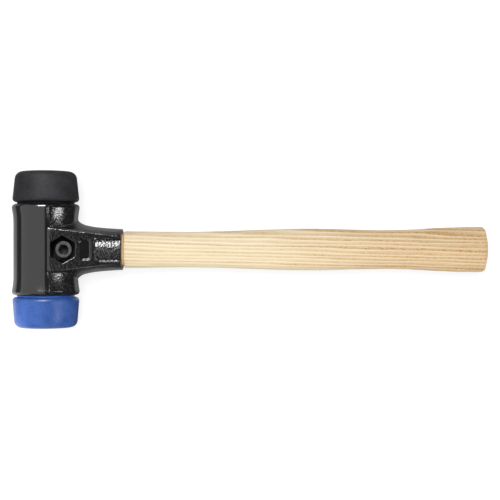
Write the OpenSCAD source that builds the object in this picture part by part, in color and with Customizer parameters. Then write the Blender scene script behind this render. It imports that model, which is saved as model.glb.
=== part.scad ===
// Soft face hammer: a split cast head clamps two round plastic faces and an oval
// wooden handle with one socket screw. All lengths are in millimetres.
// Working frame: X runs along the handle, Y along the striking axis, Z across the
// split between the half shells. The head's centre lies on the split plane.

/* [Striking faces] */
// Largest diameter of a face
face_d = 40; // [32:0.5:60]
// Height of a face from its shoulder to the striking surface
face_h = 18.3; // [12:0.1:30]
// Radius that the soft face loses from its skirt to its tip
soft_taper = 2; // [0:0.1:4]
// Radius that the medium face loses from its skirt to its tip
medium_taper = 1.5; // [0:0.1:4]
// Rounding round the striking surface
tip_round = 4; // [1:0.1:5]
// Rounding at the widest edge, next to the head
skirt_round = 2.4; // [0.6:0.1:2.8]
// How far the collar stands inside the face's edge
collar_in = 2.9; // [2:0.1:5]
// Height of the collar that seats on the rim
collar_h = 1.2; // [0.6:0.1:3]
// Step from the collar down to the stub
stub_step = 2.1; // [1:0.1:4]
// Radial clearance of a stub in the head
stub_fit = 0.05; // [0.02:0.01:0.1]

/* [Head] */
// Length of the head along the striking axis
barrel_len = 54.4; // [44:0.2:90]
// How far the rim stands outside the face's edge
rim_proud = 0.2; // [0:0.1:2]
// Rounding of the rim's outer corner
rim_round = 2.2; // [0.8:0.1:2.8]
// Radius lost from the rim to the waist
waist_in = 1; // [0.2:0.1:2]
// Length of the flare from the waist out to a rim
flare_len = 9.5; // [5:0.5:14]
// Gap between the half shells when the screw is tight
split_gap = 0.8; // [0.2:0.1:2]
// Step down from the smooth side of the barrel into the corner pockets
pocket_drop = 0.9; // [0.3:0.1:2]
// Iron between a stub's socket and the handle's slot
web_t = 5.5; // [3:0.1:8]

/* [Handle boss] */
// Reach of the boss from the striking axis to its mouth
boss_reach = 46; // [40:0.5:70]
// Outside height of the mouth
mouth_h = 24.8; // [22:0.1:30]
// Outside thickness of the mouth
mouth_t = 24.8; // [22:0.1:36]
// Distance from the striking axis to the start of the flat pad
pad_x = 4.3; // [2:0.1:6]
// Height of the flat pad where it starts
pad_root_h = 26.8; // [22:0.1:32]
// Height of the flat pad at the mouth
pad_mouth_h = 17.1; // [14:0.1:20]
// Where the fillet leaves the barrel, from the handle's axis
fillet_top = 19.8; // [17:0.1:22]

/* [Clamp screw] */
// Distance from the striking axis to the screw
screw_x = 12.6; // [11:0.1:15]
// Nominal diameter of the screw
screw_d = 6; // [5:0.5:8]
// Length of the screw under its head
screw_len = 20; // [17:0.5:24]
// Diameter of the screw's head
screw_head_d = 10; // [8:0.1:13]
// Height of the screw's head
screw_head_h = 6; // [4:0.1:7]
// Width across flats of the key socket
key_af = 5; // [3:0.5:6]
// Depth of the key socket
key_depth = 3; // [2:0.1:4]
// Width across flats of the recess in each half shell
recess_af = 14.3; // [13.4:0.1:16]
// Iron under the screw's washer and under the nut
floor_t = 2.8; // [2:0.1:4]
// Outside diameter of the lock washer
washer_d = 9.9; // [9:0.1:12]
// Thickness of the lock washer
washer_t = 1.6; // [0.8:0.1:2]
// Width across flats of the nut
nut_af = 10; // [9:0.1:11]
// Thickness of the nut
nut_t = 5; // [4:0.1:6]

/* [Handle] */
// Overall length of the hammer, from the rim to the butt
overall_len = 285; // [240:1:420]
// Height of the handle at its shoulder
shoulder_h = 22; // [20:0.1:28]
// Height at the neck, the slimmest place
neck_h = 21.2; // [18:0.1:28]
// Height at the swell
swell_h = 24.9; // [20:0.1:32]
// Height at the grip's hollow
grip_h = 23.2; // [20:0.1:32]
// Height at the butt
butt_h = 26.9; // [22:0.1:36]
// Height of the tenon at the mouth
tenon_h = 18.8; // [17:0.1:20]
// Thickness of the tenon at the mouth
tenon_t = 14.4; // [10:0.1:16]
// Height of the tongue that the screw passes through
tongue_h = 16; // [12:0.1:16.4]
// Thickness of the tongue
tongue_t = 7; // [5:0.1:8]

/* [Hidden] */

$fn = 96;
overrun = 1;            // how far a cut runs past the surface that it opens
wood_fit = 0.05;        // clearance of the handle in the half shells
thread_play = 0.05;     // radial clearance of the screw in the nut
hole_play = 0.3;        // radial clearance of the screw in iron and wood
nut_fit = 0.1;          // clearance of the nut in its pocket
arc_steps = 8;          // straight steps in a rounded corner
sweep_steps = 16;       // stations along the boss
wall_steps = 4;         // straight steps up the boss's side
grip_steps = 9;         // stations from one place to the next along the handle
edge_steps = 5;         // stations round the handle's edges
oval_sides = 36;        // straight sides of the handle's section
oval_power = 0.88;      // 1 is an ellipse, less is squarer

// Striking faces and their sockets
collar_r = face_d / 2 - collar_in;
stub_r = collar_r - stub_step;
stub_bevel = 1;
socket_end_gap = 0.3;
socket_bevel = 0.6;
socket_r = stub_r + stub_fit;
socket_floor_y = tongue_h / 2 + wood_fit + web_t;
stub_len = barrel_len / 2 - socket_floor_y - socket_end_gap;

// Barrel
rim_r = face_d / 2 + rim_proud;
waist_r = rim_r - waist_in;
flare_end_y = barrel_len / 2 - rim_round;
flare_start_y = flare_end_y - flare_len;
flare_r = (flare_len * flare_len + waist_in * waist_in) / (2 * waist_in);

// Boss: the pad is a plane that slopes from the barrel's crest to the mouth
pad_proud = 0.25;
pad_root_z = sqrt(waist_r * waist_r - pad_x * pad_x) + pad_proud;
pad_slope = (pad_root_z - mouth_t / 2) / (boss_reach - pad_x);
pad_edge_in = 0.9;
pad_edge_drop = 1;
wall_crown = 0.7;
boss_rise = fillet_top - mouth_h / 2;
fillet_low_share = 0.25;
fillet_run_share = 0.286;
fillet_run_rise_share = 0.12;

// Cast marks on the pad, one after the other behind the recess: a framed tag and an open window
tag_gap = 2.15;
tag_size = [7, 12.5];
tag_round = 2.4;
tag_depth = 0.8;
tag_x = screw_x + recess_af / 2 + tag_gap + tag_size.x / 2;
window_gap = 1.9;
window_h = 13.8;
window_round = 3.2;
window_depth = 0.9;
window_floor_r = 11;
window_x = tag_x + tag_size.x / 2 + window_gap;

// Clamp stack, counted outwards from the split plane
seat_z = tongue_t / 2 + wood_fit + floor_t;
screw_head_z = seat_z + washer_t;
hole_r = screw_d / 2 + hole_play;
screw_edge = 0.5;
washer_bore_r = screw_d / 2 + thread_play * 2;
washer_slit = 1;
washer_slit_tilt = 20;
nut_floor_z = seat_z + nut_t;

// Handle: stations along its exposed length
shoulder_gap = 1;
shoulder_round = 1.3;
shoulder_x = boss_reach + shoulder_gap;
butt_x = overall_len - rim_r;
grip_len = butt_x - shoulder_x;
butt_round = 3;
butt_crown = 2;
crown_flat_r = 0.8;
handle_t_share = 0.78;
station_shares = [0, 0.16, 0.515, 0.72, 0.948];
station_heights = [shoulder_h, neck_h, swell_h, grip_h, butt_h];
tenon_wall = 2.25;
tenon_in_x = screw_x + recess_af / 2 + tenon_wall;
tenon_taper_share = 0.9;
tongue_tail = 9.3;
tongue_end_x = screw_x - hole_r - tongue_tail;

// The part's frame: on the ground under the middle of the whole hammer
origin_shift = [rim_r - overall_len / 2, 0, rim_r];

cast_black = [0.13, 0.13, 0.14];
rubber_black = [0.17, 0.17, 0.18];
face_blue = [0.13, 0.28, 0.66];
pale_wood = [0.91, 0.78, 0.56];
screw_black = [0.22, 0.22, 0.22];
zinc = [0.7, 0.7, 0.72];

// Points of an arc about a centre, from one angle to another
function arc(centre, r, from, to, steps = arc_steps) =
    [for (i = [0:steps]) let (a = from + (to - from) * i / steps)
        centre + r * [cos(a), sin(a)]];

// Point of a cubic curve with four control points
function cubic(p, t) =
    pow(1 - t, 3) * p[0] + 3 * t * pow(1 - t, 2) * p[1]
    + 3 * t * t * (1 - t) * p[2] + pow(t, 3) * p[3];

// Smooth step from a to b, level at both ends
function ease(a, b, t) = a + (b - a) * (1 - cos(180 * t)) / 2;

// Height of the pad's plane above the split
function pad_z(x) = pad_root_z - pad_slope * (x - pad_x);

// Half the pad's height at a place along the boss
function pad_half(x) =
    (pad_root_h + (pad_mouth_h - pad_root_h) * (x - pad_x) / (boss_reach - pad_x)) / 2;

// Points up a side of the boss, from its foot on the split to the pad's edge, crowned between
function crowned_wall(foot, edge, rise) =
    [for (k = [0:wall_steps]) let (s = k / wall_steps)
        [foot.x + (edge.x - foot.x) * s,
         foot.y + (edge.y - foot.y) * s + wall_crown * sin(180 * s),
         rise * s]];

// Oval across the handle at a place along it, a little squarer than an ellipse
function oval(x, h, t) =
    [for (i = [0:oval_sides - 1])
        let (a = 360 * i / oval_sides, c = cos(a), s = sin(a))
        [x, h / 2 * sign(c) * pow(abs(c), oval_power),
         t / 2 * sign(s) * pow(abs(s), oval_power)]];

// Skin over rings of points that follow each other along X, closed at both ends
module loft(rings) {
    n = len(rings[0]);
    last = (len(rings) - 1) * n;
    sides = [for (i = [0:len(rings) - 2], k = [0:n - 1])
        let (a = i * n + k, b = i * n + (k + 1) % n)
        each [[a, b + n, b], [a, a + n, b + n]]];
    ends = [for (k = [1:n - 2])
        each [[0, k, k + 1], [last, last + k + 1, last + k]]];
    polyhedron([for (r = rings) each r], concat(sides, ends), convexity = 4);
}

// Turns a profile of radius and height about the striking axis
module turn_about_y() {
    rotate([-90, 0, 0]) rotate_extrude() children();
}

// Keeps what lies on one side of a plane across X
module keep_x_below(x, size) {
    intersection() {
        children();
        translate([x - size, -size / 2, -size / 2]) cube(size);
    }
}

// Rounded rectangle about the middle, with true round corners
module rounded_rect(size, r) {
    square([size.x - 2 * r, size.y], center = true);
    square([size.x, size.y - 2 * r], center = true);
    for (sx = [-1, 1], sy = [-1, 1])
        translate([sx * (size.x / 2 - r), sy * (size.y / 2 - r)]) circle(r);
}

// Hexagon with its flats facing X
module hexagon(af) {
    rotate(30) circle(af / 2 / cos(30), $fn = 6);
}

// Barrel of the head: flared rims, slim waist, rounded corners
module barrel() {
    rim_c = rim_r - rim_round;
    rim_y = barrel_len / 2 - rim_round;
    flare_c = [waist_r + flare_r, flare_start_y];
    flare_angle = asin(flare_len / flare_r);
    upper = concat(
        arc(flare_c, flare_r, 180, 180 - flare_angle),
        [for (i = [1:arc_steps]) let (a = 90 * i / arc_steps)
            [rim_c + rim_round * cos(a), rim_y + rim_round * sin(a)]],
        [[0, barrel_len / 2]]);
    lower = [for (i = [len(upper) - 1:-1:0]) [upper[i].x, -upper[i].y]];
    turn_about_y() polygon(concat(lower, upper));
}

// Boss that carries the handle: flared sides that rise to a sloping flat pad
module boss() {
    side = [
        [waist_r, fillet_top],
        [waist_r, mouth_h / 2 + boss_rise * fillet_low_share],
        [waist_r + (boss_reach - waist_r) * fillet_run_share,
         mouth_h / 2 + boss_rise * fillet_run_rise_share],
        [boss_reach, mouth_h / 2]];
    sections = [for (i = [0:sweep_steps])
        let (t = i / sweep_steps,
             foot = cubic(side, t),
             x = pad_x + (boss_reach - pad_x) * t,
             h = pad_half(x),
             z = pad_z(x),
             wall = crowned_wall(foot, [x, h], z - pad_edge_drop),
             half = concat(wall, [[x, h - pad_edge_in, z]]),
             last = len(half) - 1)
        concat(half, [for (k = [last:-1:0]) [half[k].x, -half[k].y, half[k].z]])];
    loft(sections);
}

// Places a shape on the pad's plane, with Z square to the pad
module on_pad(x) {
    translate([x, 0, pad_z(x)]) rotate([0, atan(pad_slope), 0]) children();
}

// Framed tag: a shallow rounded recess in the pad
module tag_cut() {
    on_pad(tag_x) translate([0, 0, -tag_depth])
        linear_extrude(tag_depth + overrun) rounded_rect(tag_size, tag_round);
}

// Open window at the mouth, over a rounded floor
module window_cut() {
    length = boss_reach - window_x + window_round + overrun;
    cut_t = window_floor_r;
    on_pad(window_x) difference() {
        translate([length / 2, 0, -cut_t])
            linear_extrude(cut_t + overrun) rounded_rect([length, window_h], window_round);
        translate([-overrun, 0, -window_floor_r - window_depth])
            rotate([0, 90, 0]) cylinder(h = length + 2 * overrun, r = window_floor_r);
    }
}

// Share of the tenon's full section at a place along it
function tenon_share(x) =
    tenon_taper_share + (1 - tenon_taper_share) * (x - tenon_in_x) / (boss_reach - tenon_in_x);

// Section of the tenon, grown by a clearance
function tenon_ring(x, grow) =
    oval(x, tenon_h * tenon_share(x) + 2 * grow, tenon_t * tenon_share(x) + 2 * grow);

// Socket of the tenon in the boss
module tenon_socket() {
    loft([tenon_ring(tenon_in_x - wood_fit, wood_fit),
          tenon_ring(boss_reach + overrun, wood_fit)]);
}

// Flat tongue of the tenon, grown by a clearance
module tongue(grow) {
    translate([tongue_end_x - grow, -tongue_h / 2 - grow, -tongue_t / 2 - grow])
        cube([tenon_in_x - tongue_end_x + 2 * grow + overrun,
              tongue_h + 2 * grow, tongue_t + 2 * grow]);
}

// Socket of a face in the barrel, with a bevelled mouth
module stub_socket() {
    turn_about_y() polygon([
        [0, socket_floor_y],
        [socket_r, socket_floor_y],
        [socket_r, barrel_len / 2 - socket_bevel],
        [socket_r + socket_bevel + overrun, barrel_len / 2 + overrun],
        [0, barrel_len / 2 + overrun]]);
}

// One half of the head, on the side of the split where Z is positive
module half_shell(recess_floor_z, nut_pocket) {
    size = 2 * barrel_len;
    difference() {
        union() {
            keep_x_below(pad_x, size) barrel();
            translate([0, 0, -pocket_drop]) barrel();
            boss();
        }
        translate([-size / 2, -size / 2, split_gap / 2 - size]) cube(size);
        stub_socket();
        mirror([0, 1, 0]) stub_socket();
        tenon_socket();
        tongue(wood_fit);
        translate([screw_x, 0, 0]) {
            cylinder(h = recess_floor_z + overrun, r = hole_r);
            translate([0, 0, recess_floor_z]) linear_extrude(rim_r) hexagon(recess_af);
            if (nut_pocket)
                translate([0, 0, seat_z])
                    linear_extrude(rim_r) hexagon(nut_af + 2 * nut_fit);
        }
        tag_cut();
        window_cut();
    }
}

module front_shell() {
    color(cast_black) half_shell(seat_z, false);
}

module rear_shell() {
    color(cast_black) mirror([0, 0, 1]) half_shell(nut_floor_z, true);
}

// Striking face: a tapered, rounded disc on a collar and a stub
module face(taper) {
    seat_y = barrel_len / 2;
    shoulder_y = seat_y + collar_h;
    tip_y = shoulder_y + face_h;
    lean = atan(taper / face_h);
    edge_r = face_d / 2;
    tip_c = [edge_r - taper - tip_round / cos(lean) + tip_round * tan(lean), tip_y - tip_round];
    skirt_c = [edge_r - skirt_round, shoulder_y + skirt_round];
    turn_about_y() polygon(concat(
        [[0, seat_y - stub_len],
         [stub_r - stub_bevel, seat_y - stub_len],
         [stub_r, seat_y - stub_len + stub_bevel],
         [stub_r, seat_y],
         [collar_r, seat_y],
         [collar_r, shoulder_y]],
        arc(skirt_c, skirt_round, -90, lean),
        arc(tip_c, tip_round, lean, 90),
        [[0, tip_y]]));
}

module soft_face() {
    color(rubber_black) face(soft_taper);
}

module medium_face() {
    color(face_blue) mirror([0, 1, 0]) face(medium_taper);
}

// Wooden handle: tapered tenon, rounded shoulder, oval grip with a domed butt, drilled tongue
module handle() {
    butt_r = butt_h / 2;
    edge_r = butt_r - butt_round;
    edge_x = butt_x - butt_crown - butt_round;
    crown_r = (edge_r * edge_r + butt_crown * butt_crown) / (2 * butt_crown);
    crown_angle = asin(edge_r / crown_r);
    shoulder = arc([shoulder_x + shoulder_round, shoulder_h / 2 - shoulder_round],
                   shoulder_round, 180, 90, edge_steps);
    stations = [for (k = [0:len(station_shares) - 2], i = [0:grip_steps - 1])
        let (t = i / grip_steps,
             share = station_shares[k] + (station_shares[k + 1] - station_shares[k]) * t)
        [shoulder_x + grip_len * share,
         ease(station_heights[k], station_heights[k + 1], t) / 2]];
    grip = [for (p = stations) if (p.x > shoulder_x + 2 * shoulder_round) p];
    butt_edge = arc([edge_x, edge_r], butt_round, 90, 0, edge_steps);
    crown = [for (i = [1:edge_steps])
        let (a = crown_angle * (1 - i / edge_steps))
        [butt_x - crown_r + crown_r * cos(a), max(crown_r * sin(a), crown_flat_r)]];
    outline = concat(shoulder, grip, butt_edge, crown);
    color(pale_wood) difference() {
        union() {
            loft(concat(
                [tenon_ring(tenon_in_x, 0), tenon_ring(shoulder_x, 0)],
                [for (p = outline) oval(p.x, 2 * p.y, 2 * p.y * handle_t_share)]));
            tongue(0);
        }
        translate([screw_x, 0, -tongue_t]) cylinder(h = 2 * tongue_t, r = hole_r);
    }
}

// Socket head screw, standing in the recess of the front half shell
module clamp_screw() {
    top_z = screw_head_z + screw_head_h;
    shank_r = screw_d / 2 - thread_play;
    head_r = screw_head_d / 2;
    color(screw_black) translate([screw_x, 0, 0]) difference() {
        rotate_extrude() polygon(concat(
            [[0, screw_head_z - screw_len],
             [shank_r - screw_edge, screw_head_z - screw_len],
             [shank_r, screw_head_z - screw_len + screw_edge],
             [shank_r, screw_head_z],
             [head_r, screw_head_z]],
            arc([head_r - screw_edge, top_z - screw_edge], screw_edge, 0, 90),
            [[0, top_z]]));
        translate([0, 0, top_z - key_depth])
            linear_extrude(key_depth + overrun) hexagon(key_af);
    }
}

// Split lock washer under the screw's head
module lock_washer() {
    color(zinc) translate([screw_x, 0, seat_z]) difference() {
        cylinder(h = washer_t, r = washer_d / 2);
        translate([0, 0, -overrun]) cylinder(h = washer_t + 2 * overrun, r = washer_bore_r);
        translate([0, washer_d / 2, washer_t / 2]) rotate([0, washer_slit_tilt, 0])
            cube([washer_slit, washer_d, 3 * washer_t], center = true);
    }
}

// Hexagon nut, held from turning in the pocket of the rear half shell
module clamp_nut() {
    bore_r = screw_d / 2;
    corner_r = nut_af / 2 / cos(30);
    crown = corner_r - nut_af / 2;
    color(zinc) translate([screw_x, 0, -nut_floor_z]) difference() {
        intersection() {
            linear_extrude(nut_t) hexagon(nut_af);
            rotate_extrude() polygon([
                [0, 0], [nut_af / 2, 0], [corner_r, crown / 2],
                [corner_r, nut_t - crown / 2], [nut_af / 2, nut_t], [0, nut_t]]);
        }
        translate([0, 0, -overrun]) cylinder(h = nut_t + 2 * overrun, r = bore_r);
    }
}

module placed() {
    translate(origin_shift) children();
}

placed() front_shell();
placed() rear_shell();
placed() soft_face();
placed() medium_face();
placed() handle();
placed() clamp_screw();
placed() lock_washer();
placed() clamp_nut();
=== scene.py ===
import math
import bmesh
import bpy
from mathutils import Matrix, Vector, noise


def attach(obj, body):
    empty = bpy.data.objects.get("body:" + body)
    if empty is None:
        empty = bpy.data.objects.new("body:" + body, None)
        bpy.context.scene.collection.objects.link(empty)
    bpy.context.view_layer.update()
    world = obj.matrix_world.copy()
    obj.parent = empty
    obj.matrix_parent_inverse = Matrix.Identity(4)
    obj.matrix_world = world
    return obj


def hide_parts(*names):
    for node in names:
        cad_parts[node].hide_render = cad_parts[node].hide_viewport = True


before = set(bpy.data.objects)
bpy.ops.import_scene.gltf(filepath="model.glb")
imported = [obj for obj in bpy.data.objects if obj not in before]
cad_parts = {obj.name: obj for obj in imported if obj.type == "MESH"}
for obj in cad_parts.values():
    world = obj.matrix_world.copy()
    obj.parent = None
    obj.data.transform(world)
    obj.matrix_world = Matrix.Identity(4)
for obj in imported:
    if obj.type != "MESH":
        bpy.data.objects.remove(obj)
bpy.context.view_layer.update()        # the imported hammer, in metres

mm = 0.001
fullTurn = 2 * math.pi
headPlace = Vector((-122.3, 0, 20.2)) * mm      # where the striking axis crosses the handle's axis
scene = bpy.context.scene
print("frame:", len(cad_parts), "nodes")

camera = {"place": (0.0001, -0.0003, 0.7402), "lens": 86.4, "sensor": 36}


def makeCamera():      # straight down on the hammer's side
    data = bpy.data.cameras.new("camera")
    data.lens = camera["lens"]
    data.sensor_width = camera["sensor"]
    eye = bpy.data.objects.new("camera", data)
    eye.location = camera["place"]
    scene.collection.objects.link(eye)
    scene.camera = eye


class Wire:      # a shader socket that takes part in plain arithmetic
    def __init__(self, finish, socket):
        self.finish = finish
        self.socket = socket

    def join(self, operation, a, b):
        return self.finish.node("ShaderNodeMath", {"operation": operation}, {0: a, 1: b})

    def __add__(self, other):
        return self.join("ADD", self, other)

    def __radd__(self, other):
        return self.join("ADD", other, self)

    def __sub__(self, other):
        return self.join("SUBTRACT", self, other)

    def __rsub__(self, other):
        return self.join("SUBTRACT", other, self)

    def __mul__(self, other):
        return self.join("MULTIPLY", self, other)

    def __rmul__(self, other):
        return self.join("MULTIPLY", other, self)

    def __pow__(self, other):
        return self.join("POWER", self, other)


class Finish:    # a material, or the world, and the nodes that make it
    def __init__(self, owner):
        self.owner = owner
        owner.use_nodes = True
        self.tree = owner.node_tree
        self.shader = self.tree.nodes.get("Principled BSDF")

    def node(self, kind, settings=None, sockets=None, out=0):
        made = self.tree.nodes.new(kind)
        for name, value in (settings or {}).items():
            setattr(made, name, value)
        for name, value in (sockets or {}).items():
            self.feed(made.inputs[name], value)
        return Wire(self, made.outputs[out])

    def feed(self, socket, value):
        if isinstance(value, Wire):
            self.tree.links.new(value.socket, socket)
        else:
            socket.default_value = value

    def set(self, sockets):
        for name, value in sockets.items():
            self.feed(self.shader.inputs[name], value)

    def attribute(self, name):
        return self.node("ShaderNodeAttribute", {"attribute_name": name}, out="Fac")

    def noise(self, size, detail=2.0, rough=0.5, stretch=(1, 1, 1)):
        at = self.node("ShaderNodeTexCoord", out="Object")
        at = self.node("ShaderNodeMapping", {}, {"Vector": at, "Scale": stretch})
        return self.node("ShaderNodeTexNoise", {"normalize": True}, {
            "Vector": at, "Scale": 1 / size, "Detail": detail, "Roughness": rough})

    def step(self, value, low, high):
        return self.node("ShaderNodeMapRange", {"interpolation_type": "SMOOTHSTEP"}, {
            "Value": value, "From Min": low, "From Max": high, "To Min": 0.0, "To Max": 1.0})

    def mix(self, share, a, b):
        a, b = [(*c, 1) if isinstance(c, tuple) else c for c in (a, b)]
        return self.node("ShaderNodeMix", {"data_type": "RGBA"}, {0: share, 6: a, 7: b}, out=2)

    def axes(self):
        at = self.node("ShaderNodeTexCoord", out="Object")
        parts = self.node("ShaderNodeSeparateXYZ", {}, {0: at}).socket.node
        return [Wire(self, part) for part in parts.outputs]

    def bump(self, height, depth, strength):
        return self.node("ShaderNodeBump", {}, {
            "Height": height, "Distance": depth, "Strength": strength}, out="Normal")


def newFinish(name):
    return Finish(bpy.data.materials.new(name))


castPaint = {
    "black": (0.005, 0.005, 0.0055), "thin": (0.015, 0.015, 0.0155),
    # the darker of the two colours on the next line is painted shade for the hexagonal recess
    "speck": (0.085, 0.085, 0.087), "recessShade": (0.003, 0.003, 0.003),
    "cloudSize": 9 * mm, "filmSize": 2.4 * mm, "lumpSize": 1.05 * mm,
    "speckSize": 0.9 * mm, "grainSize": 0.5 * mm,
    "gloss": 0.1, "wallRough": 0.36, "pitRough": 0.7, "coat": 0.12, "coatRough": 0.1, "shine": 0.75,
    "relief": 0.18 * mm,
}


def castFinish():
    finish = newFinish("castPaint")
    skin = finish.attribute("castSkin")
    side = finish.attribute("castSide")
    pit = finish.attribute("castPit")
    cloud = finish.noise(castPaint["cloudSize"], 3)
    lumps = finish.noise(castPaint["lumpSize"], 2)
    grain = finish.noise(castPaint["grainSize"], 2, 0.6)
    film = finish.noise(castPaint["filmSize"], 1)      # faint orange peel of the paint on the smooth side
    dust = finish.step(grain * 0.6 + cloud * 0.4, 0.52, 0.7)
    specks = finish.step(finish.noise(castPaint["speckSize"], 3, 0.65), 0.50, 0.73)
    paint = finish.mix(dust * (0.25 + skin * 0.5), castPaint["black"], castPaint["thin"])
    paint = finish.mix(specks * (0.06 + skin * 0.7), paint, castPaint["speck"])
    walls = side * (1 - pit) * castPaint["wallRough"]
    floors = pit * (1 - side) * castPaint["pitRough"]
    relief = (lumps * 0.78 + grain * 0.22) * (skin * 0.97 + 0.03) + film * 0.04
    finish.set({
        # painted shade: the hexagonal recess is darker and has no specks
        "Base Color": finish.mix(pit, paint, castPaint["recessShade"]),
        "Roughness": castPaint["gloss"] + skin * 0.03 + walls + floors + cloud * 0.04 + dust * 0.05,
        "Coat Weight": (castPaint["coat"] + skin * 0.08) * (1 - side) * (1 - pit),
        "Coat Roughness": castPaint["coatRough"],
        "Specular IOR Level": castPaint["shine"],
        "Normal": finish.bump(relief, castPaint["relief"], 0.9),
    })
    return finish.owner


rubber = {
    "dark": (0.018, 0.018, 0.020), "light": (0.034, 0.034, 0.038), "scuff": (0.10, 0.10, 0.10),
    # the collar colour is painted shade in the gap to the head
    "collar": (0.003, 0.003, 0.003), "rough": 0.56, "shine": 0.14, "way": 1,
}
blue = {
    "dark": (0.029, 0.082, 0.315), "light": (0.051, 0.124, 0.390), "scuff": (0.16, 0.27, 0.58),
    "collar": (0.030, 0.110, 0.420), "rough": 0.27, "shine": 0.3, "way": -1,
}
faceSkin = {      # what both faces share, and where the tip and the collar are along the striking axis
    "cloudSize": 7 * mm, "markSize": 1.6 * mm, "grainSize": 0.8 * mm, "relief": 0.05 * mm,
    "struckFrom": 45.5 * mm, "struckTo": 46.6 * mm, "collarFrom": 28.3 * mm, "collarTo": 28.9 * mm,
}


def faceFinish(name, look):
    finish = newFinish(name)
    cloud = finish.noise(faceSkin["cloudSize"], 3)
    grain = finish.noise(faceSkin["grainSize"], 2, 0.6)
    marks = finish.noise(faceSkin["markSize"], 4, 0.65, (1, 1, 0.35))
    out = finish.axes()[1] * look["way"]
    struck = finish.step(out, faceSkin["struckFrom"], faceSkin["struckTo"])
    # the neck, down in the gap to the head: on the rubber face its colour is painted shade of the gap, on
    # the blue face the blue's own colour
    collar = 1 - finish.step(out, faceSkin["collarFrom"], faceSkin["collarTo"])
    worn = finish.step(marks, 0.55, 0.68) * (struck * 0.4 + 0.04)
    body = finish.mix(finish.step(cloud * 0.5 + grain * 0.5, 0.35, 0.65), look["dark"], look["light"])
    body = finish.mix(collar, body, look["collar"])
    finish.set({
        "Base Color": finish.mix(worn, body, look["scuff"]),
        "Roughness": look["rough"] + cloud * 0.1 + worn * 0.2,
        "Specular IOR Level": look["shine"],
        "Normal": finish.bump(grain * 0.7 + marks * 0.3 - worn * 0.6, faceSkin["relief"], 0.8),
    })
    return finish.owner


wood = {
    "pale": (0.97, 0.85, 0.60), "tan": (0.62, 0.41, 0.205),
    "pore": (0.48, 0.20, 0.045), "tenonTone": (0.86, 0.54, 0.25),
    "pith": (-150 * mm, -16 * mm), "lean": 0.024, "ringGap": 2.2 * mm,      # the tree's heart and years
    "sway": 3.4 * mm, "swaySize": 34 * mm, "wave": 3.2 * mm, "waveSize": 5 * mm,
    "driftSize": 26 * mm, "breakSize": 0.9 * mm, "hairSize": 0.8 * mm,
    "poreSize": 0.5 * mm, "fibreSize": 0.34 * mm,
    "tanFrom": -0.03, "tanTo": 0.15, "tenonToneFrom": -0.0752, "tenonToneTo": -0.0744,
    "rough": 0.5, "shine": 0.16, "coat": 0.03, "coatRough": 0.4, "relief": 0.05 * mm,
}


def woodFinish():
    finish = newFinish("paleWood")
    x, y, z = finish.axes()
    sway = finish.noise(wood["swaySize"], 3, 0.55, (0.22, 1, 1)) - 0.5
    wave = finish.noise(wood["waveSize"], 2, 0.5, (0.06, 1, 1)) - 0.5      # years differ in width
    aside = y + x * wood["lean"] - wood["pith"][0]
    above = z - headPlace.z - wood["pith"][1]
    reach = (aside * aside + above * above) ** 0.5 + sway * wood["sway"] + wave * wood["wave"]
    rings = reach * (1 / wood["ringGap"])
    phase = finish.node("ShaderNodeMath", {"operation": "FRACT"}, {0: rings})
    year = finish.node("ShaderNodeMath", {"operation": "FLOOR"}, {0: rings})
    strong = finish.node("ShaderNodeTexWhiteNoise", {"noise_dimensions": "1D"}, {"W": year}) * 0.7 + 0.3
    broken = finish.noise(wood["breakSize"], 3, 0.7, (0.12, 1, 1)) * 1.6 - 0.1
    # a year's growth starts with a porous band and ends in a pale hard line
    early = finish.step(phase, 0.0, 0.16) * (1 - finish.step(phase, 0.2, 0.8)) * strong * broken
    late = finish.step(phase, 0.7, 0.86) * (1 - finish.step(phase, 0.92, 1.0))
    butt = finish.step(x, wood["tanFrom"], wood["tanTo"])      # darker and more tan towards the butt: partly the wood's own tone, partly painted shade of light falling off along the handle
    fibre = finish.noise(wood["fibreSize"], 3, 0.6, (0.03, 1, 1))
    hair = finish.noise(wood["hairSize"], 2, 0.6, (0.02, 1, 1))
    dashes = finish.noise(wood["poreSize"], 2, 0.6, (0.4, 1, 1))
    pores = finish.step(dashes, 0.52, 0.58) * (early * 1.4 + 0.06) * (0.3 + butt * 0.9)
    drift = finish.noise(wood["driftSize"], 2, 0.5, (0.3, 1, 1))
    tan = early * 0.62 + fibre * 0.24 + hair * 0.36 + drift * 0.24 + butt * 0.56 - late * 0.24 - 0.4
    ground = finish.mix(finish.step(tan, -0.45, 1.05), wood["pale"], wood["tan"])
    tenonTone = 1 - finish.step(x, wood["tenonToneFrom"], wood["tenonToneTo"])      # the tenon in the head is darker
    ground = finish.mix(tenonTone * 0.8, ground, wood["tenonTone"])
    finish.set({
        "Base Color": finish.mix(pores, ground, wood["pore"]),
        "Roughness": wood["rough"] + fibre * 0.16 + pores * 0.15,
        "Specular IOR Level": wood["shine"],
        "Coat Weight": wood["coat"],
        "Coat Roughness": wood["coatRough"],
        "Normal": finish.bump(fibre * 0.35 - pores * 0.65, wood["relief"], 0.7),
    })
    return finish.owner


blackOxide = {"dark": (0.024, 0.024, 0.026), "light": (0.066, 0.065, 0.065), "rough": 0.38, "metal": 0.75}
zincPlate = {"dark": (0.50, 0.50, 0.52), "light": (0.66, 0.66, 0.67), "rough": 0.24, "metal": 1.0}
steelSkin = {"cloudSize": 2.2 * mm, "grainSize": 0.22 * mm, "relief": 0.02 * mm, "socketShade": 0.3}


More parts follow.
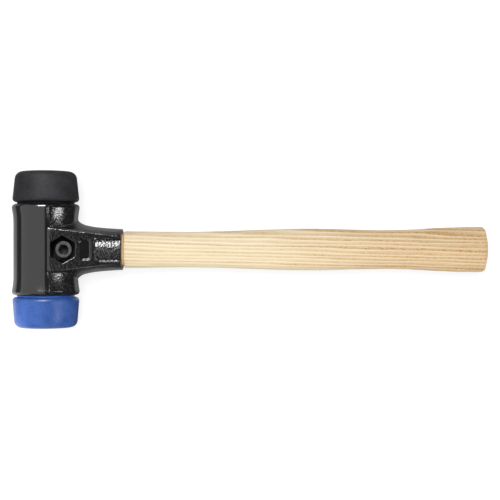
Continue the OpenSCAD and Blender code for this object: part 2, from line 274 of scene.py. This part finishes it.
def steelFinish(name, look):
    finish = newFinish(name)
    cloud = finish.noise(steelSkin["cloudSize"], 3)
    grain = finish.noise(steelSkin["grainSize"], 2, 0.6)
    socket = finish.attribute("keySocket")
    metal = finish.mix(finish.step(cloud * 0.6 + grain * 0.4, 0.35, 0.65), look["dark"], look["light"])
    shaded = tuple(c * steelSkin["socketShade"] for c in look["dark"])
    finish.set({
        "Base Color": finish.mix(socket, metal, shaded),
        "Roughness": look["rough"] + cloud * 0.14 + grain * 0.06 + socket * 0.2,
        "Metallic": look["metal"],
        "Normal": finish.bump(grain, steelSkin["relief"], 0.6),
    })
    return finish.owner


finishes = {
    "cast": castFinish(),
    "soft": faceFinish("blackRubber", rubber),
    "medium": faceFinish("bluePlastic", blue),
    "wood": woodFinish(),
    "screw": steelFinish("blackOxide", blackOxide),
    "zinc": steelFinish("zincPlate", zincPlate),
}
print("finishes:", ", ".join(finishes))


def addObject(bm, name):
    mesh = bpy.data.meshes.new(name)
    bm.to_mesh(mesh)
    bm.free()
    made = bpy.data.objects.new(name, mesh)
    scene.collection.objects.link(made)
    return made


def finishPiece(bm, name, node, body, slot):
    for patch in bm.faces:
        patch.smooth = True
    piece = addObject(bm, name)
    piece.data.materials.append(finishes[slot])
    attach(piece, body)
    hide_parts(node)
    print(name, len(piece.data.vertices), "vertices")


def extrudeRing(bm, edges):
    made = bmesh.ops.extrude_edge_only(bm, edges=edges)["geom"]
    verts = [g for g in made if isinstance(g, bmesh.types.BMVert)]
    fresh = set(verts)
    return verts, [g for g in made if isinstance(g, bmesh.types.BMEdge) and fresh.issuperset(g.verts)]


def ramp(value, low, high):
    share = min(max((value - low) / (high - low), 0), 1)
    return share * share * (3 - 2 * share)


# cast half shells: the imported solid, melted a little so that its edges look cast and painted
# places are in millimetres from where the axes cross, and pairs are where a change starts and ends
shell = {
    "voxel": 0.36 * mm, "weld": 0.002 * mm, "softenAll": 2,
    "softenRoot": 9, "rootOut": 10.5, "rootFrom": 3.3, "rootTo": 24,
    "waist": 19.2, "flareStart": 15.5, "flareEnd": 24.8, "flareBend": 45.625, "pocketDrop": 0.9,
    "padStart": 4.3, "padTop": 18.96, "padSlope": 0.1574, "padHalf": 13.4, "padTaper": 0.1163,
    "recess": 7.15,
    "settle": (0.10, 0.22), "split": (1.4, 2.4), "stepGap": 0.25, "stepNear": 1.2, "stepHold": 0.5,
    "padIn": 0.9, "padRim": 0.8, "floorGap": 0.3, "wallNear": 0.4, "topNear": 0.25,
    "skinStart": (4.2, 5.4), "skinEnd": (24, 26), "skinLevel": (0.35, 0.75), "sideLevel": (0.15, 0.5),
    "padSkin": (9, 14), "padCalm": 0.3, "pitDeep": (0.5, 1.6),
    "window": (30.6, 31.6), "windowHalf": 6.6, "windowLumps": 1.1, "windowSkin": 0.9,
    "tagPlace": 25.4, "tagWide": 3.5, "tagTall": 6.25, "tagDeep": (0.3, 0.75), "tagCalm": 0.8,
    "lump": 0.055 * mm, "lumpSize": 1.0 * mm, "fineLump": 0.5, "fineRate": 2.1,
}


def barrelRadius(y):
    run = max(abs(y) - shell["flareStart"], 0)
    return shell["waist"] + shell["flareBend"] - math.sqrt(shell["flareBend"] ** 2 - run * run)


def padHeight(x):
    return shell["padTop"] - shell["padSlope"] * (x - shell["padStart"])


def hexWall(out, y):      # nearest wall of the hexagonal recess: its direction, and how far out a point is
    ways = [Vector((math.cos(a), math.sin(a))) for a in (0, math.pi / 3, -math.pi / 3)]
    way = max(ways, key=lambda w: abs(w.x * out + w.y * y))
    return way, way.x * out + way.y * y


def meltSolid(node, name):
    solid = bmesh.new()
    solid.from_mesh(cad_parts[node].data)
    bmesh.ops.remove_doubles(solid, verts=solid.verts, dist=shell["weld"])
    draft = addObject(solid, name + "Draft")
    melt = draft.modifiers.new("melt", "REMESH")
    melt.mode = "VOXEL"
    melt.voxel_size = shell["voxel"]
    bm = bmesh.new()
    bm.from_object(draft, bpy.context.evaluated_depsgraph_get())
    bpy.data.objects.remove(draft)
    root = [v for v in bm.verts if abs(v.co.y) / mm > shell["rootOut"]
            and shell["rootFrom"] < (v.co.x - headPlace.x) / mm < shell["rootTo"]]
    for verts, times in ((bm.verts, shell["softenAll"]), (root, shell["softenRoot"])):
        for _ in range(times):
            bmesh.ops.smooth_vert(bm, verts=verts, factor=0.5,
                                  use_axis_x=True, use_axis_y=True, use_axis_z=True)
    return bm


def settleBarrel(bm, up):      # turned surfaces go back to their exact radius, so that the gloss runs true
    for v in bm.verts:
        x, y, z = (v.co - headPlace) / mm
        z *= up
        aside = abs(x - shell["padStart"])
        if z < shell["split"][0] or abs(y) > shell["flareEnd"] or aside < shell["stepGap"]:
            continue
        drop = shell["pocketDrop"] if x > shell["padStart"] else 0
        radius = math.hypot(x, z + drop)
        off = abs(radius - barrelRadius(y))
        if aside < shell["stepNear"]:      # the step down to the pocket stays crisp
            off *= shell["stepHold"]
        hold = (1 - ramp(off, *shell["settle"])) * ramp(z, *shell["split"])
        pull = 1 + hold * (barrelRadius(y) / radius - 1)
        v.co.x = headPlace.x + x * pull * mm
        v.co.z = headPlace.z + ((z + drop) * pull - drop) * up * mm


def settlePad(bm, up, floor):      # and so do the flat pad and the walls of the hexagonal recess
    for v in bm.verts:
        x, y, z = (v.co - headPlace) / mm
        z *= up
        top = padHeight(x)
        edge = shell["padHalf"] - shell["padTaper"] * (x - shell["padStart"]) - shell["padRim"]
        if x < shell["padStart"] + shell["padIn"] or abs(y) > edge or z < floor + shell["floorGap"]:
            continue
        way, reach = hexWall(x - screw["place"], y)
        off = abs(reach) - shell["recess"]
        if abs(off) < shell["wallNear"] and z < top - shell["topNear"]:
            x -= math.copysign(off, reach) * way.x
            y -= math.copysign(off, reach) * way.y
        elif off > 0 and abs(z - top) < shell["topNear"]:
            z = top
        v.co = headPlace + Vector((x, y, z * up)) * mm


def castSkin(bm, up):      # lumps, and for the paint where the skin is rough, steep or in the recess; in the recess the paint is darkened as painted shade
    skin = bm.verts.layers.float.new("castSkin")
    side = bm.verts.layers.float.new("castSide")
    pit = bm.verts.layers.float.new("castPit")
    for v in bm.verts:
        at = (v.co - headPlace) / mm
        level = abs(v.normal.z)
        deep = padHeight(at.x) - at.z * up
        window = ramp(at.x, *shell["window"]) * (abs(at.y) < shell["windowHalf"])
        pad = (1 - ramp(abs(at.y), *shell["padSkin"])) * (1 - window)
        rough = ramp(at.x, *shell["skinStart"]) * (0.5 + 0.5 * ramp(level, *shell["skinLevel"]))
        v[skin] = rough * (1 - ramp(abs(at.y), *shell["skinEnd"])) * (1 - shell["padCalm"] * pad)
        v[side] = 1 - ramp(level, *shell["sideLevel"])
        inHex = abs(hexWall(at.x - screw["place"], at.y)[1]) < shell["recess"] + shell["wallNear"]
        # painted shade mask: the hexagonal recess below the pad
        v[pit] = ramp(deep, *shell["pitDeep"]) * inHex
        if abs(at.x - shell["tagPlace"]) < shell["tagWide"] and abs(at.y) < shell["tagTall"]:
            v[skin] *= 1 - shell["tagCalm"] * ramp(deep, *shell["tagDeep"])      # thick paint in the tag
        grid = v.co / shell["lumpSize"]
        lump = noise.noise(grid) + shell["fineLump"] * noise.noise(grid * shell["fineRate"])
        v.co += v.normal * (lump * shell["lump"] * v[skin] * (1 + shell["windowLumps"] * window))
        v[skin] *= 1 + shell["windowSkin"] * window      # the bare floor of the window is the roughest


def castShell(node, name, body, up, floor):
    bm = meltSolid(node, name)
    settleBarrel(bm, up)
    settlePad(bm, up, floor)
    bm.normal_update()
    castSkin(bm, up)
    finishPiece(bm, name, node, body, "cast")


# striking faces: a profile turned about the striking axis, in millimetres
face = {
    "edge": 20.0, "height": 18.3, "tipRound": 4.0, "skirtRound": 2.4, "softTaper": 2.0, "mediumTaper": 1.5,
    "seat": 27.2, "collar": 17.1, "collarHeight": 1.2, "collarRound": 0.2, "neckRound": 0.3,
    "stub": 15.0, "stubLength": 13.35, "stubBevel": 1.0, "stubRound": 0.15,
    "turns": 160, "fineSteps": 3, "roundSteps": 9, "weld": 0.001 * mm,
}


def strikingFace(node, name, body, slot, taper, way):
    seat, stub, collar, edge = face["seat"], face["stub"], face["collar"], face["edge"]
    shoulder = seat + face["collarHeight"]
    tip = shoulder + face["height"]
    end = seat - face["stubLength"]
    corners = [(0, end, 0), (stub, end, face["stubBevel"]), (stub, seat, face["stubRound"]),
               (collar, seat, face["collarRound"]), (collar, shoulder, face["neckRound"]),
               (edge, shoulder, face["skirtRound"]), (edge - taper, tip, face["tipRound"]), (0, tip, 0)]
    bm = bmesh.new()
    line = [bm.verts.new((r * mm, y * mm, 0)) for r, y, _ in corners]
    for pair in zip(line, line[1:]):
        bm.edges.new(pair)
    for corner, (_, _, rounding) in zip(line, corners):
        if rounding:
            steps = face["fineSteps"] if rounding < 1 else face["roundSteps"]
            bmesh.ops.bevel(bm, geom=[corner], offset=rounding * mm, offset_type="OFFSET",
                            affect="VERTICES", segments=steps, profile=0.5, material=-1)
    bmesh.ops.spin(bm, geom=bm.verts[:] + bm.edges[:], cent=(0, 0, 0), axis=(0, 1, 0), angle=fullTurn,
                   steps=face["turns"], use_merge=True)
    bmesh.ops.remove_doubles(bm, verts=bm.verts, dist=face["weld"])
    if way < 0:
        bmesh.ops.scale(bm, vec=(1, -1, 1), verts=bm.verts)
    bmesh.ops.translate(bm, vec=headPlace, verts=bm.verts)
    bmesh.ops.recalc_face_normals(bm, faces=bm.faces)
    finishPiece(bm, name, node, body, slot)


# handle: oval rings drawn out along the wood, from the tenon to the butt, in millimetres
handle = {
    "sides": 80, "squareness": 0.88, "thick": 0.78,
    "shoulder": 47.0, "shoulderRound": 1.3, "butt": 264.8, "buttRound": 2.2, "crown": 1.8,
    "shares": (0, 0.16, 0.515, 0.72, 0.948), "heights": (22.0, 21.2, 24.9, 23.2, 26.9),
    "steps": 16, "edgeSteps": 10,
    "mouth": 46.0, "tenonStart": 22.0, "tenonHeight": 18.8, "tenonThick": 14.4, "tenonTaper": 0.9,
    "startRing": 0.5, "shoulderRing": 0.6,
    "tongueEnd": 0.0, "tongueRoot": 22.4, "tongueHeight": 16.0, "tongueThick": 7.0,
    "hole": 3.3, "holeSides": 48,
}


def handleOutline():      # places along the bare wood, each with half its height
    start, end = handle["shoulder"], handle["butt"]
    shares, heights = handle["shares"], handle["heights"]
    quarter = [math.pi / 2 * i / handle["edgeSteps"] for i in range(handle["edgeSteps"] + 1)]
    bend = handle["shoulderRound"]
    low = heights[0] / 2 - bend
    line = [(start + bend * (1 - math.cos(a)), low + bend * math.sin(a)) for a in quarter]
    for shareA, shareB, heightA, heightB in zip(shares, shares[1:], heights, heights[1:]):
        for i in range(handle["steps"]):
            t = i / handle["steps"]
            x = start + (end - start) * (shareA * (1 - t) + shareB * t)
            blend = (1 - math.cos(math.pi * t)) / 2
            if x > start + 2 * bend:
                line.append((x, (heightA * (1 - blend) + heightB * blend) / 2))
    bend, crown = handle["buttRound"], handle["crown"]
    edge = heights[-1] / 2 - bend
    line += [(end - crown - bend * (1 - math.sin(a)), edge + bend * math.cos(a)) for a in quarter]
    bow = (edge * edge + crown * crown) / (2 * crown)
    spread = math.asin(edge / bow)
    line += [(end - bow + bow * math.cos(a), bow * math.sin(a))
             for a in [spread * (1 - i / handle["edgeSteps"]) for i in range(1, handle["edgeSteps"])]]
    return line


def handleRings():      # place, half height and half thickness, from the tenon to the butt
    start, shoulder = handle["tenonStart"], handle["shoulder"]
    run = handle["mouth"] - start
    rings = []
    for x in (start, start + handle["startRing"], shoulder - handle["shoulderRing"], shoulder):
        share = handle["tenonTaper"] + (1 - handle["tenonTaper"]) * (x - start) / run
        rings.append((x, handle["tenonHeight"] * share / 2, handle["tenonThick"] * share / 2))
    return rings + [(x, half, half * handle["thick"]) for x, half in handleOutline()]


def drilledTongue():      # flat end of the wood that the screw passes through
    bm = bmesh.new()
    bmesh.ops.create_circle(bm, cap_ends=False, segments=handle["holeSides"], radius=handle["hole"],
                            matrix=Matrix.Translation((screw["place"], 0, 0)))
    hole = list(bm.edges)
    x0, x1, thick = handle["tongueEnd"], handle["tongueRoot"], handle["tongueThick"]
    plate = bmesh.ops.create_circle(bm, cap_ends=False, segments=4, radius=1)["verts"]
    bmesh.ops.rotate(bm, verts=plate, cent=(0, 0, 0), matrix=Matrix.Rotation(math.pi / 4, 3, "Z"))
    size = ((x1 - x0) / math.sqrt(2), handle["tongueHeight"] / math.sqrt(2), 1)
    bmesh.ops.scale(bm, vec=size, verts=plate)
    bmesh.ops.translate(bm, vec=((x0 + x1) / 2, 0, 0), verts=plate)
    outer = [e for e in bm.edges if e not in hole]
    bmesh.ops.subdivide_edges(bm, edges=outer, cuts=handle["holeSides"] // 4 - 1)
    bmesh.ops.bridge_loops(bm, edges=list(bm.edges))
    bmesh.ops.recalc_face_normals(bm, faces=bm.faces)
    bmesh.ops.translate(bm, vec=(0, 0, -thick / 2), verts=bm.verts)
    grown = bmesh.ops.extrude_face_region(bm, geom=list(bm.faces), use_keep_orig=True)["geom"]
    raised = [g for g in grown if isinstance(g, bmesh.types.BMVert)]
    bmesh.ops.translate(bm, vec=(0, 0, thick), verts=raised)
    bmesh.ops.recalc_face_normals(bm, faces=bm.faces)
    mesh = bpy.data.meshes.new("tongue")
    bm.to_mesh(mesh)
    bm.free()
    return mesh


def woodHandle():
    bm = bmesh.new()
    verts = bmesh.ops.create_circle(bm, cap_ends=False, segments=handle["sides"], radius=1)["verts"]
    edges = list(bm.edges)
    power = handle["squareness"]
    for v in verts:      # a little squarer than an ellipse
        c, s = v.co.x, v.co.y
        v.co = (0, math.copysign(abs(c) ** power, c), math.copysign(abs(s) ** power, s))
    was = (0, 1, 1)
    for x, half, deep in handleRings():
        if was[0]:
            verts, edges = extrudeRing(bm, edges)
        bmesh.ops.scale(bm, vec=(1, half / was[1], deep / was[2]), verts=verts)
        bmesh.ops.translate(bm, vec=(x - was[0], 0, 0), verts=verts)
        was = (x, half, deep)
    inHead = [e for e in bm.edges if e.is_boundary and e.verts[0].co.x < handle["mouth"]]
    bmesh.ops.contextual_create(bm, geom=inHead)
    bmesh.ops.pointmerge(bm, verts=verts, merge_co=(handle["butt"], 0, 0))
    bmesh.ops.recalc_face_normals(bm, faces=bm.faces)
    tongue = drilledTongue()
    bm.from_mesh(tongue)
    bpy.data.meshes.remove(tongue)
    bmesh.ops.scale(bm, vec=(mm, mm, mm), verts=bm.verts)
    bmesh.ops.translate(bm, vec=headPlace, verts=bm.verts)
    finishPiece(bm, "woodHandle", "handle", "rear_half", "wood")


# small hardware: rings drawn along the screw's axis, each point at its own radius, in millimetres
screw = {
    "place": 12.6, "headTop": 13.95, "headHeight": 6.0, "head": 5.0,
    "edge": 0.3, "edgeSteps": 4, "edgeInset": 0.05,
    "key": 5.0, "keyDepth": 3.0, "keyMouth": 0.35, "drillDepth": 1.1, "drillPoint": 0.15,
    "mouthRings": ((0.12, 3.0), (0, 3.1), (0, 3.25)), "socketReach": 2.95,      # depth and radius
    "topRings": (0.2, 0.1), "underRings": ((0.3, 0.12), (0, 0.3)),              # inset; height and inset
    "knurl": 0.09, "knurlTop": 0.25, "knurlRows": (2, 4), "knurlEnd": 0.45,
    "length": 20.0, "core": 2.42, "crest": 2.95, "pitch": 1.0, "neckWide": 0.25, "neckLong": 0.3,
    "threadStart": 0.6, "threadRate": 8, "pointDrop": 0.35, "sides": 96, "crisp": 0.6,
}


def threadRadius(angle, z, crest, root):
    wave = (z / screw["pitch"] - angle / fullTurn) % 1
    return root + (crest - root) * ramp(abs(wave - 0.5) * 2, 0.1, 0.9)


def threadRing(z, crest, root, most=math.inf):
    return lambda angle: min(threadRadius(angle, z, crest, root), most)


def hexRing(flats, most=math.inf):
    def radius(angle):
        lean = (angle % (math.pi / 3)) - math.pi / 6
        return min(flats / 2 / math.cos(lean), most)
    return radius


def knurlRadius(angle):
    return screw["head"] - screw["knurl"] * (round(angle / fullTurn * screw["sides"]) % 2)


def ringStack(bm, rings):      # each ring has a height, and a radius or a function of the angle
    verts = bmesh.ops.create_circle(bm, cap_ends=False, segments=screw["sides"], radius=1)["verts"]
    edges = list(bm.edges)
    for k, (z, radius) in enumerate(rings):
        if k:
            verts, edges = extrudeRing(bm, edges)
        for v in verts:
            angle = math.atan2(v.co.y, v.co.x)
            r = radius(angle) if callable(radius) else radius
            v.co = (r * math.cos(angle), r * math.sin(angle), z)
    return verts


def toScrewAxis(bm):
    bmesh.ops.recalc_face_normals(bm, faces=bm.faces)
    for e in bm.edges:
        e.smooth = e.calc_face_angle(0) < screw["crisp"]
    bmesh.ops.scale(bm, vec=(mm, mm, mm), verts=bm.verts)
    bmesh.ops.translate(bm, vec=headPlace + Vector((screw["place"] * mm, 0, 0)), verts=bm.verts)


def headRings(top, under):      # from the bottom of the key socket over the head to its underside
    head, edge, steps = screw["head"], screw["edge"], screw["edgeSteps"]
    key = hexRing(screw["key"])
    bottom = top - screw["keyDepth"]
    rings = [(bottom - screw["drillDepth"], screw["drillPoint"])]
    rings += [(bottom, key), (top - screw["keyMouth"], key)]
    rings += [(top - depth, radius) for depth, radius in screw["mouthRings"]]
    rings += [(top, head - edge - inset) for inset in screw["topRings"]]
    rings += [(top - edge + edge * math.sin(a), head - edge - screw["edgeInset"] + edge * math.cos(a))
              for a in [math.pi / 2 * (1 - i / steps) for i in range(1, steps)]]
    rings += [(top - edge - screw["knurlTop"], knurlRadius)]
    rings += [(top - row, knurlRadius) for row in screw["knurlRows"]]
    rings += [(under + screw["knurlEnd"], knurlRadius)]
    rings += [(under + height, head - inset) for height, inset in screw["underRings"]]
    return rings


def socketScrew():
    top = screw["headTop"]
    under = top - screw["headHeight"]
    tip = under - screw["length"]
    crest, core, start, rate = screw["crest"], screw["core"], screw["threadStart"], screw["threadRate"]
    rings = headRings(top, under)
    rings += [(under, crest + screw["neckWide"]), (under - screw["neckLong"], crest)]
    point = core - screw["pointDrop"]
    for i in range(int((screw["length"] - start) * rate)):      # the thread runs out in a chamfer
        z = under - start - i / rate
        rings.append((z, threadRing(z, crest, core, point + z - tip)))
    rings.append((tip, point))
    bm = bmesh.new()
    last = ringStack(bm, rings)
    bmesh.ops.pointmerge(bm, verts=last, merge_co=(0, 0, tip))
    bmesh.ops.contextual_create(bm, geom=[e for e in bm.edges if e.is_boundary])
    socket = bm.verts.layers.float.new("keySocket")
    for v in bm.verts:
        v[socket] = float(v.co.z > under and math.hypot(v.co.x, v.co.y) < screw["socketReach"])
    toScrewAxis(bm)
    finishPiece(bm, "socketScrew", "clamp_screw", "screw", "screw")


nut = {
    "floor": -11.35, "thick": 5.0, "flats": 10.0, "bore": 3.0, "thread": 2.62, "boreEdge": 0.35,
    "threadStart": 0.45, "threadLess": 0.8, "rises": (0, 0.2, 0.4, 0.6, 0.8, 1.0),
}


def hexNut():
    low, high = nut["floor"], nut["floor"] + nut["thick"]
    bore, edge, rate = nut["bore"], nut["boreEdge"], screw["threadRate"]
    half = nut["flats"] / 2
    crown = half / math.cos(math.pi / 6) - half
    cones = [(crown / 2 * rise, hexRing(nut["flats"], half + crown * rise)) for rise in nut["rises"]]
    rings = [(low + height, cone) for height, cone in cones]
    rings += [(high - height, cone) for height, cone in reversed(cones)]
    rings += [(high, bore + edge), (high - edge, bore)]
    for i in range(int((nut["thick"] - nut["threadLess"]) * rate)):
        z = high - nut["threadStart"] - i / rate
        rings.append((z, threadRing(z, bore, nut["thread"])))
    rings += [(low + edge, bore), (low, bore + edge)]
    bm = bmesh.new()
    ringStack(bm, rings)
    bmesh.ops.bridge_loops(bm, edges=[e for e in bm.edges if e.is_boundary])
    toScrewAxis(bm)
    finishPiece(bm, "hexNut", "clamp_nut", "rear_half", "zinc")


washer = {
    "seat": 6.35, "thick": 1.6, "outer": 4.95, "inner": 3.1, "edge": 0.15, "edgeSteps": 3,
    "slit": 13, "turns": 90,
}


def lockWasher():
    low, high = washer["seat"], washer["seat"] + washer["thick"]
    inner, outer, slit = washer["inner"], washer["outer"], math.radians(washer["slit"])
    bm = bmesh.new()
    line = [bm.verts.new((r, 0, z)) for r, z in ((inner, low), (outer, low), (outer, high), (inner, high))]
    for pair in zip(line, line[1:] + line[:1]):
        bm.edges.new(pair)
    bmesh.ops.bevel(bm, geom=line, offset=washer["edge"], offset_type="OFFSET", affect="VERTICES",
                    segments=washer["edgeSteps"], profile=0.5, material=-1)
    start = Matrix.Rotation(math.pi / 2 + slit / 2, 3, "Z")
    bmesh.ops.rotate(bm, verts=bm.verts, cent=(0, 0, 0), matrix=start)
    bmesh.ops.spin(bm, geom=bm.verts[:] + bm.edges[:], cent=(0, 0, 0), axis=(0, 0, 1),
                   angle=fullTurn - slit, steps=washer["turns"])
    bmesh.ops.holes_fill(bm, edges=[e for e in bm.edges if e.is_boundary])
    toScrewAxis(bm)
    finishPiece(bm, "lockWasher", "lock_washer", "front_half", "zinc")


makeCamera()
castShell("front_shell", "frontShell", "front_half", 1, washer["seat"])
castShell("rear_shell", "rearShell", "rear_half", -1, -nut["floor"])
strikingFace("soft_face", "softFace", "soft_insert", "soft", face["softTaper"], rubber["way"])
strikingFace("medium_face", "mediumFace", "medium_insert", "medium", face["mediumTaper"], blue["way"])
woodHandle()
socketScrew()
hexNut()
lockWasher()
print("pieces made")


studio = {
    "floorSize": 4.0, "floorColour": (0.34, 0.34, 0.34), "floorGlow": 0.76, "glowFrom": 0.25, "glowTo": 0.9,
    "cardColour": (0.10, 0.10, 0.10), "cardRadius": 0.75, "cardFoot": 0.01, "cardHeight": 0.42,
    "cardSpan": 125, "cardSteps": 32, "roof": ((0.63, 0.42), (0.085, 0.95)), "roofHalf": 0.7,
    "matt": 0.9, "skyFill": 0.10,
}
lamps = {      # place, aim, size, watts, lights by scattering, shows in the gloss
    "keyPanel": ((-0.06, 0.20, 1.02), (-0.02, 0, 0.02), (0.5, 0.5), 9.0, True, False),
    "lowFill": ((-0.195, -0.06, 0.055), (-0.138, -0.045, 0.02), (0.03, 0.03), 0.05, True, False),
    "nearFill": ((0.08, -0.36, 0.15), (0.06, 0, 0.02), (0.4, 0.12), 0.8, True, False),
    "farFill": ((0.08, 0.36, 0.15), (0.06, 0, 0.02), (0.4, 0.12), 0.36, True, False),
    "buttFill": ((0.32, 0, 0.035), (0.142, 0, 0.02), (0.08, 0.06), 0.12, True, False),
    "farPanel": ((-0.17, 0.48, 0.72), (-0.12, 0, 0.03), (0.42, 0.40), 14.0, False, True),
    "rightStrip": ((0.200, -0.080, 0.283), (-0.1125, 0.021, 0.037), (0.09, 0.2), 0.60, False, True),
}
flags = {      # dark boards beside the head that only its gloss sees: two corners and a shade
    "leftFlag": ((-0.75, -0.05, 0.06), (-0.21, 0.50, 0.001), 0.08),
    "leftNearFlag": ((-0.21, -0.031, 0.001), (-0.143, 0.50, 0.001), 0.55),
    "nearFlag": ((-0.105, -0.12, 0.001), (-0.06, -0.03, 0.001), 0.08),
    "farFlag": ((-0.105, 0.03, 0.001), (-0.06, 0.12, 0.001), 0.3),
    "nearRightFlag": ((-0.074, -0.075, 0.001), (-0.074, -0.0128, 0.036), 0.2),
    "farRightFlag": ((-0.074, 0.0128, 0.001), (-0.074, 0.075, 0.036), 0.2),
    "handleFlag": ((-0.074, -0.0128, 0.0295), (-0.074, 0.0128, 0.036), 0.08),
    "stripFlag": ((-0.065, -0.10, 0.035), (-0.065, -0.031, 0.16), 0.06),
}


def seenRays(finish):      # 1 for what the camera sees, straight, mirrored or through glass
    rays = finish.node("ShaderNodeLightPath").socket.node.outputs
    straight, mirrored, through = [Wire(finish, rays["Is %s Ray" % kind])
                                   for kind in ("Camera", "Glossy", "Transmission")]
    seen = finish.node("ShaderNodeMath", {"operation": "MAXIMUM"}, {0: straight, 1: mirrored})
    return finish.node("ShaderNodeMath", {"operation": "MAXIMUM"}, {0: seen, 1: through})


def makeFloor():
    bm = bmesh.new()
    bmesh.ops.create_grid(bm, x_segments=2, y_segments=2, size=studio["floorSize"])
    floor = addObject(bm, "floor")
    finish = newFinish("paleFloor")
    x, y, _ = finish.axes()
    # past the lamps the floor is plain white
    far = finish.step((x * x + y * y) ** 0.5, studio["glowFrom"], studio["glowTo"])
    glow = finish.mix(far, (studio["floorGlow"],) * 3, (1.0, 1.0, 1.0))
    finish.set({
        "Base Color": (*studio["floorColour"], 1), "Roughness": studio["matt"], "Specular IOR Level": 0.0,
        "Emission Color": finish.mix(seenRays(finish), (0.0, 0.0, 0.0), glow), "Emission Strength": 1.0,
    })
    floor.data.materials.append(finish.owner)
    return floor


def makeCard():      # grey card round all but the left side, with a roof over the right, out of the picture
    bm = bmesh.new()
    span = math.radians(studio["cardSpan"])
    line = [bm.verts.new((studio["cardRadius"], 0, z)) for z in (studio["cardFoot"], studio["cardHeight"])]
    bm.edges.new(line)
    bmesh.ops.rotate(bm, verts=bm.verts, cent=(0, 0, 0), matrix=Matrix.Rotation(-span, 3, "Z"))
    bmesh.ops.spin(bm, geom=bm.verts[:] + bm.edges[:], cent=(0, 0, 0), axis=(0, 0, 1), angle=2 * span,
                   steps=studio["cardSteps"])
    edge = bm.edges.new([bm.verts.new((x, -studio["roofHalf"], z)) for x, z in studio["roof"]])
    roof, _ = extrudeRing(bm, [edge])
    bmesh.ops.translate(bm, vec=(0, 2 * studio["roofHalf"], 0), verts=roof)
    bmesh.ops.translate(bm, vec=(headPlace.x, 0, 0), verts=bm.verts)
    card = addObject(bm, "greyCard")
    finish = newFinish("greyCard")
    finish.set({"Base Color": (*studio["cardColour"], 1), "Roughness": studio["matt"]})
    card.data.materials.append(finish.owner)
    card.visible_camera = False
    card.visible_shadow = False
    return card


def makeFlag(name, low, high, shade):
    bm = bmesh.new()
    edge = bm.edges.new([bm.verts.new((low[0], y, low[2])) for y in (low[1], high[1])])
    far, _ = extrudeRing(bm, [edge])
    bmesh.ops.translate(bm, vec=(high[0] - low[0], 0, high[2] - low[2]), verts=far)
    flag = addObject(bm, name)
    finish = newFinish(name)
    finish.set({"Base Color": (shade, shade, shade, 1), "Roughness": studio["matt"]})
    flag.data.materials.append(finish.owner)
    flag.visible_camera = False
    flag.visible_shadow = False
    flag.visible_diffuse = False


def makeLamp(name, place, aim, size, watts, scattered, mirrored):
    data = bpy.data.lights.new(name, "AREA")
    data.shape = "RECTANGLE"
    data.size, data.size_y = size
    data.energy = watts
    lamp = bpy.data.objects.new(name, data)
    lamp.location = place
    lamp.rotation_euler = (Vector(aim) - Vector(place)).to_track_quat("-Z", "Y").to_euler()
    lamp.visible_camera = False
    lamp.visible_diffuse = scattered
    lamp.visible_glossy = mirrored
    scene.collection.objects.link(lamp)


def makeStudio():
    floor = makeFloor()
    card = makeCard()
    for name, flag in flags.items():
        makeFlag(name, *flag)
    scene.world = bpy.data.worlds.new("studio")
    finish = Finish(scene.world)
    sky = finish.tree.nodes["Background"]
    finish.feed(sky.inputs["Color"], (1, 1, 1, 1))
    finish.feed(sky.inputs["Strength"], seenRays(finish) * (1 - studio["skyFill"]) + studio["skyFill"])
    for name, lamp in lamps.items():
        makeLamp(name, *lamp)
    scene.view_settings.view_transform = "Standard"


makeStudio()
print("studio ready")
